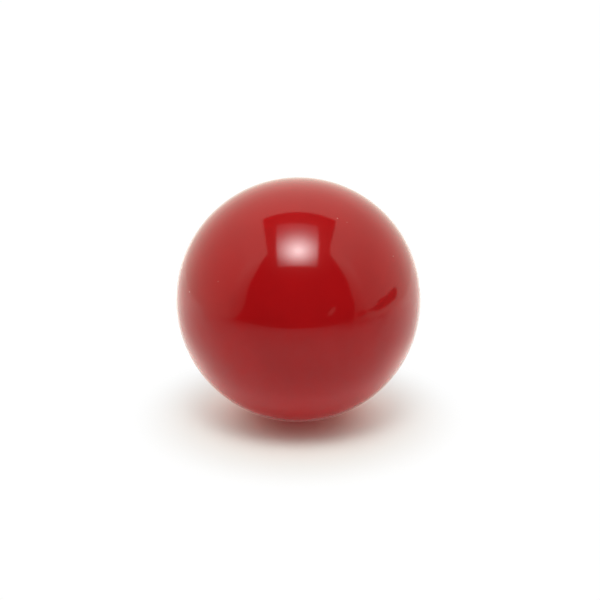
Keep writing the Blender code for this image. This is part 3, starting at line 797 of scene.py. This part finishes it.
# The soft box over the slot in the roof, as (across, along), the place of its hottest point, and its light.
SOFT_BOX = [(-0.41, -0.86), (0.375, -0.86), (0.25, -0.01), (-0.275, 0.025)]
SOFT_BOX_HOT = (-0.005, -0.51)
SOFT_BOX_EVEN = 0.2
SOFT_BOX_SPOTS = [(0.25, 0.235, 12.3), (0.45, 0.45, 1.4), (0.07, 0.07, 3.5)]  # reach across, along, strength
SOFT_BOX_LIFT = 0.002  # of the soft box over the roof
# The panel over the roof that carries the soft box's spilled light.
SPILL = [(-0.8, -1.3), (0.8, -1.3), (0.8, 0.5), (-0.8, 0.5)]
SPILL_LIFT = 0.004
SPILL_SPOT = (0.0, -0.42, 0.55, 0.60, 0.30)  # across, along, reach across, reach along, strength
TABLE_PAINTED_LIGHT = (0.15, 0.03, 0.07, 0.08, 0.40)  # the same, on both sides of the ball: a painted pool of light that lightens the ball's shadow there
FILL_LIFT = 0.0001  # of the lower fill light over the floor
WARM = (1.0, 0.97, 0.85)

# The light of each cloth where the axes meet it, what each metre adds to it, and the limits that hold it.
SIDE_LIGHT = 0.735
SIDE_ALONG = 0.48
SIDE_UP = -0.20
SIDE_UP_AND_ALONG = -0.44
SIDE_UP_SQUARED = 0.31
SIDE_LIMITS = (0.35, 1.1)
BACK_LIGHT = 1.27
BACK_OUT = -0.15
BACK_UP = -0.25
BACK_LIMITS = (0.6, 1.3)
ROOF_LIGHT = 1.05
ROOF_OUT = -0.18
ROOF_LIMITS = (0.6, 1.1)
FLAP_LIGHT = 0.24  # at FLAP_EDGE across
FLAP_EDGE = 0.6
FLAP_OUT = 0.55
FLAP_UP = 0.85
FLAP_LIMITS = (0.2, 0.95)

# How white the sweep is in reflections, and what each metre along adds to it, near the ball and further off.
# This is painted shade and light: the sweep greys towards the open front, where less light falls, and goes
# past white further back.
NEAR_WHITE = 0.88
NEAR_ALONG = 1.7
FAR_WHITE = 0.67
FAR_ALONG = 0.50
SWEEP_LIMITS = (0.42, 1.3)
# The floor that the camera sees: its matt white, the distances over which that gives way to a glow, and the
# distances over which the glow rises from one strength to the other. The glow is painted light, and its
# dimmer part near the ball is a painted shadow.
FLOOR_WHITE = (1.0, 1.02, 0.95)
FLOOR_FADE_CENTRE = (0.0, -0.012, FLOOR_HEIGHT)
FLOOR_FADE = (0.03, 0.155)
FLOOR_PAINTED_SHADOW_RISE = (0.08, 0.16)
FLOOR_PAINTED_SHADOW_GLOW = (0.82, 1.01)


def seen(obj, camera, others):
    """Sets whether the camera sees the object, and whether reflections, bounces and shadows do."""
    obj.visible_camera = camera
    obj.visible_glossy = others
    obj.visible_diffuse = others
    obj.visible_transmission = others
    obj.visible_shadow = others


def panel(name, corners, material, camera=False):
    """A flat staged panel with those corners, seen by the camera only or by everything else."""
    mesh = bpy.data.meshes.new(name)
    mesh.from_pydata(corners, [], [list(range(len(corners)))])
    mesh.materials.append(material)
    obj = linked(name, mesh)
    seen(obj, camera, not camera)
    return obj


class Cloth:
    """A staged material: light given off, or a matt white."""

    def __init__(self, name):
        self.material = bpy.data.materials.new(name)
        self.material.use_nodes = True
        self.tree = self.material.node_tree
        self.tree.nodes.clear()
        where = self.tree.nodes.new("ShaderNodeNewGeometry")
        split = self.tree.nodes.new("ShaderNodeSeparateXYZ")
        self.tree.links.new(where.outputs["Position"], split.inputs[0])
        self.position = where.outputs["Position"]
        self.across, self.along, self.height = split.outputs

    def math(self, operation, *values):
        """The result of a sum on values and sockets."""
        made = self.tree.nodes.new("ShaderNodeMath")
        made.operation = operation
        for socket, value in zip(made.inputs, values):
            if isinstance(value, bpy.types.NodeSocket):
                self.tree.links.new(value, socket)
            else:
                socket.default_value = value
        return made.outputs[0]

    def away(self, point):
        """The distance from a point."""
        made = self.tree.nodes.new("ShaderNodeVectorMath")
        made.operation = "DISTANCE"
        self.tree.links.new(self.position, made.inputs[0])
        made.inputs[1].default_value = point
        return made.outputs["Value"]

    def glow(self, strength, colour=(1.0, 1.0, 1.0)):
        """A light given off, of an even strength or of one from a socket."""
        lamp = self.tree.nodes.new("ShaderNodeEmission")
        lamp.inputs["Color"].default_value = (*colour, 1.0)
        if isinstance(strength, bpy.types.NodeSocket):
            self.tree.links.new(strength, lamp.inputs["Strength"])
        else:
            lamp.inputs["Strength"].default_value = strength
        return lamp.outputs[0]

    def white(self, albedo):
        """A matt white, of an even colour or of a grey from a socket."""
        surface = self.tree.nodes.new("ShaderNodeBsdfDiffuse")
        if isinstance(albedo, bpy.types.NodeSocket):
            self.tree.links.new(albedo, surface.inputs["Color"])
        else:
            surface.inputs["Color"].default_value = (*albedo, 1.0)
        return surface.outputs[0]

    def held(self, value, low, high):
        """The value kept between two limits."""
        return self.math("MINIMUM", self.math("MAXIMUM", value, low), high)

    def eased(self, value, low, high, out_low, out_high):
        """The value's range laid smoothly onto another."""
        made = self.tree.nodes.new("ShaderNodeMapRange")
        made.interpolation_type = "SMOOTHSTEP"
        self.tree.links.new(value, made.inputs["Value"])
        made.inputs["From Min"].default_value = low
        made.inputs["From Max"].default_value = high
        made.inputs["To Min"].default_value = out_low
        made.inputs["To Max"].default_value = out_high
        return made.outputs["Result"]

    def hot_spot(self, x, y, reach_x, reach_y, strength):
        """A round glow that fades away from a point on a level panel."""
        across = self.math("DIVIDE", self.math("SUBTRACT", self.across, x), reach_x)
        along = self.math("DIVIDE", self.math("SUBTRACT", self.along, y), reach_y)
        square = self.math("ADD", self.math("MULTIPLY", across, across), self.math("MULTIPLY", along, along))
        return self.math("MULTIPLY", self.math("EXPONENT", self.math("MULTIPLY", square, -1.0)), strength)

    def end(self, surface):
        """The finished material."""
        end = self.tree.nodes.new("ShaderNodeOutputMaterial")
        self.tree.links.new(surface, end.inputs["Surface"])
        return self.material


def plain_glow(name, strength, colour=(1.0, 1.0, 1.0)):
    """A staged material that glows evenly."""
    made = Cloth(name)
    return made.end(made.glow(strength, colour))


def side_cloth():
    """The sides' white cloth, lit from outside: duller towards the front, brightest low at the back."""
    made = Cloth("side_cloth")
    tilt = made.math("MULTIPLY_ADD", made.along, SIDE_UP_AND_ALONG, SIDE_UP)
    rise = made.math("MULTIPLY", made.height, made.math("MULTIPLY_ADD", made.height, SIDE_UP_SQUARED, tilt))
    light = made.math("ADD", made.math("MULTIPLY_ADD", made.along, SIDE_ALONG, SIDE_LIGHT), rise)
    return made.end(made.glow(made.held(light, *SIDE_LIMITS), WARM))


def back_cloth():
    """The back's white cloth, brightest low in the middle."""
    made = Cloth("back_cloth")
    outwards = made.math("MULTIPLY_ADD", made.math("ABSOLUTE", made.across), BACK_OUT, BACK_LIGHT)
    light = made.math("MULTIPLY_ADD", made.height, BACK_UP, outwards)
    return made.end(made.glow(made.held(light, *BACK_LIMITS), WARM))


def roof_cloth():
    """The roof's white cloth, duller towards the sides."""
    made = Cloth("roof_cloth")
    light = made.math("MULTIPLY_ADD", made.math("ABSOLUTE", made.across), ROOF_OUT, ROOF_LIGHT)
    return made.end(made.glow(made.held(light, *ROOF_LIMITS), WARM))


def flap_cloth():
    """The front flaps' cloth, duller towards the opening and towards the table."""
    made = Cloth("flap_cloth")
    out = made.math("SUBTRACT", made.math("ABSOLUTE", made.across), FLAP_EDGE)
    up = made.math("POWER", made.math("MAXIMUM", made.height, 0.0), 1.5)
    rise = made.math("MULTIPLY_ADD", up, FLAP_UP, FLAP_LIGHT)
    light = made.math("MULTIPLY_ADD", out, FLAP_OUT, rise)
    return made.end(made.glow(made.held(light, *FLAP_LIMITS), WARM))


def soft_box_cloth():
    """The soft box's face: a hot middle that fades towards its edges."""
    made = Cloth("soft_box_cloth")
    light = SOFT_BOX_EVEN
    for spot in SOFT_BOX_SPOTS:
        light = made.math("ADD", light, made.hot_spot(*SOFT_BOX_HOT, *spot))
    return made.end(made.glow(light))


def spill_cloth():
    """The soft box's light on what stands round it."""
    made = Cloth("spill_cloth")
    return made.end(made.glow(made.hot_spot(*SPILL_SPOT), WARM))


def table_painted_shade_and_light():
    """The white sweep that reflections see, with painted shade that greys it towards its front edge and a
    painted glow of light on both sides of the ball.
    """
    made = Cloth("table_painted_shade_and_light")
    near = made.math("MULTIPLY_ADD", made.along, NEAR_ALONG, NEAR_WHITE)
    far = made.math("MULTIPLY_ADD", made.along, FAR_ALONG, FAR_WHITE)
    # Painted shade and light: the sweep greys towards its open front and goes past white further back.
    grey = made.held(made.math("MAXIMUM", near, far), *SWEEP_LIMITS)
    both = made.tree.nodes.new("ShaderNodeAddShader")
    made.tree.links.new(made.white(grey), both.inputs[0])
    # Painted light: a glow on both sides of the ball that lightens its shadow on the sweep.
    made.across = made.math("ABSOLUTE", made.across)
    made.tree.links.new(made.glow(made.hot_spot(*TABLE_PAINTED_LIGHT), WARM), both.inputs[1])
    return made.end(both.outputs[0])


def painted_shadow_floor():
    """The floor that the camera sees: matt white under the ball, where it takes the ball's shadow, and
    further off a glow, over-exposed far out and dimmer nearer the ball, which paints the outer part of that
    shadow.
    """
    made = Cloth("painted_shadow_floor")
    share = made.eased(made.away(FLOOR_FADE_CENTRE), *FLOOR_FADE, 0.0, 1.0)
    # Painted shadow: the glow is dimmer near the ball and rises to full strength further off.
    level = made.eased(made.away((0.0, 0.0, FLOOR_HEIGHT)), *FLOOR_PAINTED_SHADOW_RISE, *FLOOR_PAINTED_SHADOW_GLOW)
    mix = made.tree.nodes.new("ShaderNodeMixShader")
    made.tree.links.new(share, mix.inputs[0])
    made.tree.links.new(made.white(FLOOR_WHITE), mix.inputs[1])
    made.tree.links.new(made.glow(level), mix.inputs[2])
    return made.end(mix.outputs[0])


def make_tent():
    """A light tent round the ball, open at its front and with a slot in its roof."""
    w, b, f, h = HALF_WIDTH, BACK, FRONT, ROOF
    foot = FLOOR_HEIGHT - TABLE_DROP
    sides = side_cloth()
    flaps = flap_cloth()
    roof = roof_cloth()
    panel("tent_back", [(-w, b, foot), (w, b, foot), (w, b, h), (-w, b, h)], back_cloth())
    left_edge = [(x, y, h) for x, y in SLOT_LEFT]
    right_edge = [(x, y, h) for x, y in SLOT_RIGHT]
    panel("tent_roof_back", [left_edge[0], right_edge[0], (w, b, h), (-w, b, h)], roof)
    panel("tent_roof_left", [*left_edge, (-w, f, h), (-w, b, h)], roof)
    panel("tent_roof_right", [*right_edge, (w, f, h), (w, b, h)], roof)
    for side, name, outline in ((-1, "left", LEFT_FLAP), (1, "right", RIGHT_FLAP)):
        wall = [(side * w, f, foot), (side * w, b, foot), (side * w, b, h), (side * w, f, h)]
        panel(f"tent_side_{name}", wall, sides)
        edge = [(x, f, z) for x, z in outline]
        panel(f"tent_flap_{name}", [*edge, (side * w, f, foot), (side * w, f, h)], flaps)
    dark = plain_glow("dark_gap", HEM_GAP_GLOW, WARM)
    panel("hem_gap", [(w - HEM_GAP_INSET, y, z) for y, z in HEM_GAP], dark)
    panel("hem_gap_end", [(x, f + HEM_GAP_INSET, z) for x, z in HEM_GAP_END], dark)
    panel("card", [(x, f, z) for x, z in CARD], plain_glow("pale_card", CARD_GLOW, WARM))


def make_room():
    """The dim room outside the tent."""
    room = box("room", (-ROOM_SIZE,) * 3, (ROOM_SIZE,) * 3)
    room.data.materials.append(plain_glow("room_dark", ROOM_GLOW))
    seen(room, False, True)


def make_table():
    """The white sweep that reflections see, and the floor that the camera sees in its place."""
    foot = FLOOR_HEIGHT - TABLE_DROP
    front = [(x, y, foot) for x, y in SWEEP_FRONT]
    back = [(side * SWEEP_BACK, SWEEP_BACK, foot) for side in (1, -1)]
    panel("table", [*front, *back], table_painted_shade_and_light())
    reach = FLOOR_REACH
    corners = [(-reach, -reach), (reach, -reach), (reach, reach), (-reach, reach)]
    panel("floor", [(x, y, FLOOR_HEIGHT) for x, y in corners], painted_shadow_floor(), camera=True)


def fill_light(name, place, aim, size, power):
    """A large soft light that lights matt surfaces and makes no highlight."""
    data = bpy.data.lights.new(name, "AREA")
    data.shape = "SQUARE"
    data.size = size
    data.energy = power
    light = linked(name, data)
    light.location = place
    light.rotation_mode = "QUATERNION"
    light.rotation_quaternion = (Vector(aim) - Vector(place)).to_track_quat("-Z", "Y")
    light.visible_camera = False
    light.visible_glossy = False
    light.visible_transmission = False


def make_lights():
    """The soft box over the tent, its spill on what stands round it, and two fills."""
    panel("soft_box", [(x, y, ROOF + SOFT_BOX_LIFT) for x, y in SOFT_BOX], soft_box_cloth())
    panel("soft_box_spill", [(x, y, ROOF + SPILL_LIFT) for x, y in SPILL], spill_cloth())
    fill_light("front_fill", (0.0, -0.95, 0.35), (0.0, 0.0, 0.0), size=1.2, power=1.0)
    fill_light("table_fill", (0.0, 0.0, FLOOR_HEIGHT + FILL_LIFT), (0.0, 0.0, 1.0), size=1.6, power=3.5)


def make_world():
    """White behind everything, for the camera only."""
    world = bpy.data.worlds.new("backdrop")
    world.use_nodes = True
    world.node_tree.nodes["Background"].inputs["Color"].default_value = (1.0, 1.0, 1.0, 1.0)
    world.cycles_visibility.diffuse = False
    world.cycles_visibility.glossy = False
    world.cycles_visibility.transmission = False
    world.cycles_visibility.scatter = False
    bpy.context.scene.world = world


CAMERA_ELEVATION = 20.0
CAMERA_DISTANCE = 1.263
CAMERA_LENS = 85.0  # in millimetres, as is the sensor
CAMERA_SENSOR = 36.0
CAMERA_AIM = Vector((0.0014, 0.0, -0.0005))


def make_camera():
    """A short telephoto a little above the ball, looking along +Y."""
    data = bpy.data.cameras.new("camera")
    data.lens = CAMERA_LENS
    data.sensor_width = CAMERA_SENSOR
    camera = linked("camera", data)
    rise = math.radians(CAMERA_ELEVATION)
    back = Vector((0.0, -math.cos(rise), math.sin(rise)))
    camera.location = CAMERA_AIM + back * CAMERA_DISTANCE
    camera.rotation_mode = "QUATERNION"
    camera.rotation_quaternion = (-back).to_track_quat("-Z", "Y")
    bpy.context.scene.camera = camera
    bpy.context.scene.view_settings.view_transform = "Standard"


dress_ball()
make_tent()
make_room()
make_table()
make_lights()
make_world()
make_camera()
